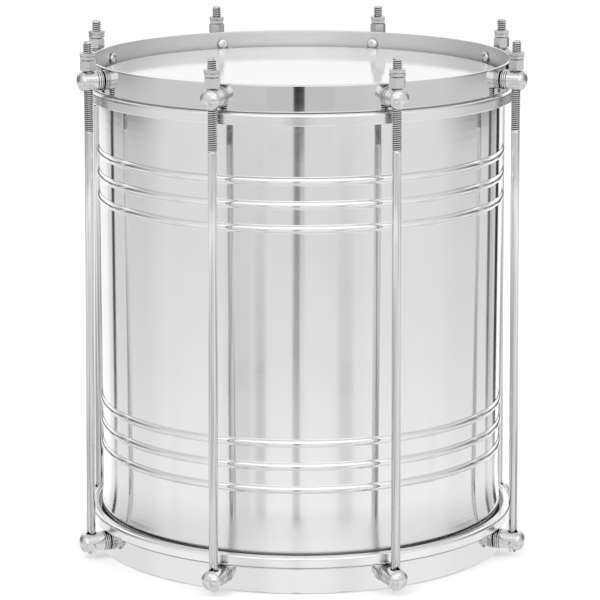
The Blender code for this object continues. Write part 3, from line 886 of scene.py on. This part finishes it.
def hex_nut(name, low, height, bevel):
    """A bored hexagon whose corners are turned off at both ends."""
    high = low + height
    corner = ACROSS_FLATS / 2 / cos(pi / 6)
    shape = bmesh.new()
    rings = [[shape.verts.new((corner * cos(k * pi / 3), corner * sin(k * pi / 3), z)) for k in range(6)]
             for z in (low, high)]
    for k in range(6):
        m = (k + 1) % 6
        shape.faces.new((rings[0][k], rings[0][m], rings[1][m], rings[1][k]))
    shape.faces.new(reversed(rings[0]))
    shape.faces.new(rings[1])
    bmesh.ops.recalc_face_normals(shape, faces=shape.faces)
    prism = meshed(name, shape)
    wide = corner + 0.002
    face = ACROSS_FLATS / 2 - 0.0001
    slope = bevel / (corner - face)
    fall = (wide - face) * slope
    rings_off = []
    for level, way in ((low, 1), (high, -1)):
        beyond = level - way * 0.001
        rings_off.append(lathe("ring", [(face, level), (wide, level + way * fall), (wide, beyond),
                                        (face - 0.0004, beyond)], 48))
    mouth = NUT_BORE + 0.001
    bore = lathe("bore", [(0, low - 0.001), (mouth, low - 0.001), (NUT_BORE, low + 0.0005),
                          (NUT_BORE, high - 0.0005), (mouth, high + 0.001), (0, high + 0.001)], 32)
    return drilled(name, prism, [*rings_off, bore])


def joined(name, *meshes):
    """Several meshes as one."""
    shape = bmesh.new()
    for mesh in meshes:
        shape.from_mesh(mesh)
    return meshed(name, shape, 30)


NUT_ZINC = zinc("zinc_nut", (0.70, 0.705, 0.71), 0.20, 0.16, (120.0, 120.0, 2400.0))
tall = hex_nut("tension_nut", NUT_SEAT, TENSION_NUT, 0.00045)
pair_foot = NUT_SEAT + TENSION_NUT + FIT_GAP
half = LOCK_NUTS / 2
lower_thin = hex_nut("lock_nut", pair_foot, half - THIN_SLIT, 0.0003)
upper_thin = hex_nut("lock_nut", pair_foot + half, half, 0.0003)
upper_thin.transform(Matrix.Rotation(radians(7), 4, "Z"))
pair = joined("lock_nut", lower_thin, upper_thin)
for number, turns in enumerate(zip(TALL_TURNS, THIN_TURNS), 1):
    for name, mesh, node, turn in (("tall_nut", tall, "tension_nut", turns[0]),
                                   ("thin_nuts", pair, "lock_nut", turns[1])):
        stopped = radians(turn) - lug_angle(number)
        piece(f"{name}_{number}", at_lugs(mesh, NUT_ZINC, number, 1, ROD_CIRCLE, stopped),
              f"nut_{number}", "nut_steel", f"{node}_{number}")


# Studio
# A pale floor under plain soft light. The metal reflects a bright surround with a few narrow
# gaps between its panels, and the floor shows white behind the drum and keeps its shadow.

studio = bpy.data.worlds.new("studio")
bpy.context.scene.world = studio
studio.use_nodes = True
sky = studio.node_tree
sky.nodes.clear()


def near(value, centre, half, soft):
    """One within half of the centre, falling to nought over the soft edge."""
    away = sums(sky, "ABSOLUTE", sums(sky, "WRAP", sums(sky, "SUBTRACT", value, centre), 180.0, -180.0))
    edge = put(sky, "ShaderNodeMapRange", {0: away, 1: half + soft / 2, 2: half - soft / 2},
               interpolation_type="SMOOTHSTEP")
    return edge.outputs[0]


direction = put(sky, "ShaderNodeSeparateXYZ", {0: put(sky, "ShaderNodeTexCoord").outputs["Generated"]})
bearing = sums(sky, "DEGREES", sums(sky, "ARCTAN2", direction.outputs["X"],
                                    sums(sky, "MULTIPLY", direction.outputs["Y"], -1.0)))
height = sums(sky, "DEGREES", sums(sky, "ARCSINE", direction.outputs["Z"]))

# the surround's tone at each bearing, in degrees to the right of the front, and at each height
ROUND = ((-180, 1.0), (-145, 1.0), (-125, 0.93), (-102, 0.915), (-80, 0.985), (-56, 0.99), (-35, 0.92),
         (-15, 0.935), (6, 0.95), (20, 0.93), (27, 0.94), (42, 1.0), (80, 1.0), (97, 0.96), (120, 0.965),
         (150, 1.0), (180, 1.0))
SURROUND = ((-90, 0.84), (-60, 0.86), (-38, 0.88), (-22, 0.90), (-17, 1.0), (-15.8, 0.95), (-13.4, 0.79),
            (-9, 0.755), (-8.3, 0.76), (-4, 0.80), (0, 0.84), (6, 0.88), (18, 0.92), (32, 0.86),
            (55, 0.84), (76, 0.82), (90, 0.66))


def tones(value, table, least, span):
    """The grey that a table of (place, tone) gives for a value."""
    ramp = put(sky, "ShaderNodeValToRGB", {0: sums(sky, "MULTIPLY_ADD", value, 1 / span, -least / span)})
    ramp.color_ramp.interpolation = "EASE"
    stops = ramp.color_ramp.elements
    for k, (place, tone) in enumerate(table):
        stop = stops[k] if k < 2 else stops.new((place - least) / span)
        stop.position = (place - least) / span
        stop.color = (tone, tone, tone, 1)
    return put(sky, "ShaderNodeRGBToBW", {0: ramp.outputs[0]}).outputs[0]


glow = sums(sky, "MULTIPLY", tones(height, SURROUND, -90, 180), tones(bearing, ROUND, -180, 360))

# bearing, half width, soft edge, then lowest height, highest height, and how much light is lost
GAPS = ((-1.9, 2.9, 0.7, -8.78, -1.0, 0.97), (-2.9, 1.6, 0.7, -10.6, -8.78, 0.80),
        (-3.7, 1.9, 1.2, -14.6, -10.6, 0.40), (-3.7, 1.9, 1.2, -15.6, -13.0, 0.50),
        (-136.4, 2.2, 1.6, -15.0, -6.0, 0.95), (135.4, 2.1, 1.4, -14.8, -6.0, 0.84),
        (141.0, 3.6, 2.0, -14.8, -6.0, 0.26), (151.2, 4.0, 1.6, -15.0, -6.0, 0.97),
        (-24.0, 3.0, 4.0, -15.2, -13.0, 0.75), (-36.0, 7.0, 6.0, -15.6, -12.9, 0.34),
        (24.5, 4.0, 4.0, -15.2, -12.9, 0.45), (-1.0, 18.0, 2.0, -8.8, -4.0, 0.07),
        (-110.0, 45.0, 40.0, 0.0, 60.0, 0.16), (110.0, 45.0, 40.0, 0.0, 60.0, 0.16),
        (-138.0, 42.0, 40.0, -7.8, 24.0, 0.70), (138.0, 42.0, 40.0, -7.8, 24.0, 0.70),
        (180.0, 12.0, 6.0, 22.0, 60.0, 0.45), (166.0, 4.0, 5.0, -52.0, -19.0, 0.50),
        (-158.0, 2.5, 3.0, -52.0, -19.0, 0.60), (-150.0, 5.0, 4.0, -52.0, -19.0, 0.28),
        (136.0, 2.6, 2.0, -52.0, -19.0, 0.60), (-136.4, 2.2, 2.0, -52.0, -19.0, 0.60),
        (-3.7, 2.2, 1.4, -52.0, -19.0, 0.50), (-24.0, 3.0, 4.0, -52.0, -19.0, 0.40),
        (-36.0, 7.0, 6.0, -52.0, -19.0, 0.24), (24.5, 4.0, 4.0, -52.0, -19.0, 0.36),
        (82.0, 3.0, 3.0, -52.0, -19.0, 0.40), (102.0, 7.0, 6.0, -52.0, -19.0, 0.25),
        (-80.0, 3.0, 3.0, -52.0, -19.0, 0.40), (-100.0, 6.0, 6.0, -52.0, -19.0, 0.25))
for gap_bearing, gap_half, soft, lowest, highest, loss in GAPS:
    across = near(bearing, gap_bearing, gap_half, soft)
    middle, reach = (lowest + highest) / 2, (highest - lowest) / 2
    tall_way = near(height, middle, reach, 0.25 if reach < 2 else 1.0)
    kept = sums(sky, "MULTIPLY_ADD", sums(sky, "MULTIPLY", across, tall_way), -loss, 1.0)
    glow = sums(sky, "MULTIPLY", glow, kept)

# soft boxes, in the same order, and how much light each one adds
BOXES = ((-42.0, 17.0, 8.0, 30.0, 52.0, 0.5), (42.0, 17.0, 8.0, 30.0, 52.0, 0.5),
         (2.0, 28.0, 24.0, 4.0, 70.0, 0.40), (180.0, 40.0, 10.0, 30.0, 50.0, 0.8),
         (180.0, 50.0, 20.0, 6.0, 22.0, 0.85),
         (-162.0, 16.0, 6.0, -30.0, -7.0, 0.22), (171.0, 16.0, 3.0, -30.0, -7.0, 0.28),
         (0.0, 20.0, 14.0, -27.0, -15.0, 0.08), (0.0, 110.0, 60.0, -27.0, -15.5, 0.06))
for box_bearing, box_half, soft, lowest, highest, strength in BOXES:
    across = near(bearing, box_bearing, box_half, soft)
    tall_way = near(height, (lowest + highest) / 2, (highest - lowest) / 2, 5.0)
    glow = sums(sky, "ADD", glow, sums(sky, "MULTIPLY", sums(sky, "MULTIPLY", across, tall_way), strength))

# the even light that dull surfaces see in place of the panels
FILL = 0.80
rays = put(sky, "ShaderNodeLightPath")
seen = put(sky, "ShaderNodeMix", {0: rays.outputs["Is Glossy Ray"], 2: FILL, 3: glow}, data_type="FLOAT")
seen = put(sky, "ShaderNodeMix", {0: rays.outputs["Is Camera Ray"], 2: seen.outputs[0], 3: 1.0},
           data_type="FLOAT")
light = put(sky, "ShaderNodeBackground", {"Color": (1, 1, 1, 1), "Strength": seen.outputs[0]})
sky.links.new(light.outputs[0], put(sky, "ShaderNodeOutputWorld").inputs["Surface"])

LAMPS = (("key", (-1.1, -1.3, 1.9), 14.0, 1.2), ("side", (1.5, -0.8, 1.5), 8.0, 1.2),
         ("back", (0.3, 1.6, 1.8), 7.0, 1.4))
for name, place, power, size in LAMPS:
    lamp = bpy.data.objects.new(name, bpy.data.lights.new(name, "AREA"))
    lamp.data.energy = power
    lamp.data.shape = "SQUARE"
    lamp.data.size = size
    lamp.location = place
    lamp.rotation_euler = (Vector((0, 0, 0.15)) - Vector(place)).to_track_quat("-Z", "Y").to_euler()
    lamp.visible_glossy = False
    bpy.context.scene.collection.objects.link(lamp)

floor_shape = bmesh.new()
bmesh.ops.create_circle(floor_shape, cap_ends=True, segments=96, radius=6.0)
bmesh.ops.recalc_face_normals(floor_shape, faces=floor_shape.faces)
floor = bpy.data.objects.new("floor", meshed("floor", floor_shape))
floor.location.z = -0.0002
bpy.context.scene.collection.objects.link(floor)
floor.visible_glossy = False
paper = bpy.data.materials.new("floor_paper")
paper.use_nodes = True
tree = paper.node_tree
tree.nodes.clear()
matt = put(tree, "ShaderNodeBsdfDiffuse", {"Color": (0.86, 0.86, 0.86, 1)})
lift = put(tree, "ShaderNodeEmission", {"Color": (1, 1, 1, 1), "Strength": 0.30})
clear = put(tree, "ShaderNodeEmission", {"Color": (0, 0, 0, 1), "Strength": 0.0})
where = put(tree, "ShaderNodeLightPath")
chosen = put(tree, "ShaderNodeMixShader", {0: where.outputs["Is Camera Ray"], 1: clear.outputs[0],
                                           2: lift.outputs[0]})
both = put(tree, "ShaderNodeAddShader", {0: matt.outputs[0], 1: chosen.outputs[0]})
tree.links.new(both.outputs[0], put(tree, "ShaderNodeOutputMaterial").inputs["Surface"])
floor.data.materials.append(paper)


# Camera
# A long lens, level with the middle of a table and looking a little down at the drum.

CAMERA_AWAY = 1.829
CAMERA_HEIGHT = 0.5517
CAMERA_BEARING = radians(1.0)
CAMERA_FALL = radians(12.27)
CAMERA_ASIDE = radians(0.0157)
LENS = 175.62
camera = bpy.data.objects.new("camera", bpy.data.cameras.new("camera"))
camera.data.sensor_width = 36.0
camera.data.lens = LENS
camera.location = (-CAMERA_AWAY * sin(CAMERA_BEARING), -CAMERA_AWAY * cos(CAMERA_BEARING), CAMERA_HEIGHT)
camera.rotation_euler = (pi / 2 - CAMERA_FALL, 0, -CAMERA_BEARING + CAMERA_ASIDE)
bpy.context.scene.collection.objects.link(camera)
bpy.context.scene.camera = camera
bpy.context.scene.view_settings.view_transform = "Standard"
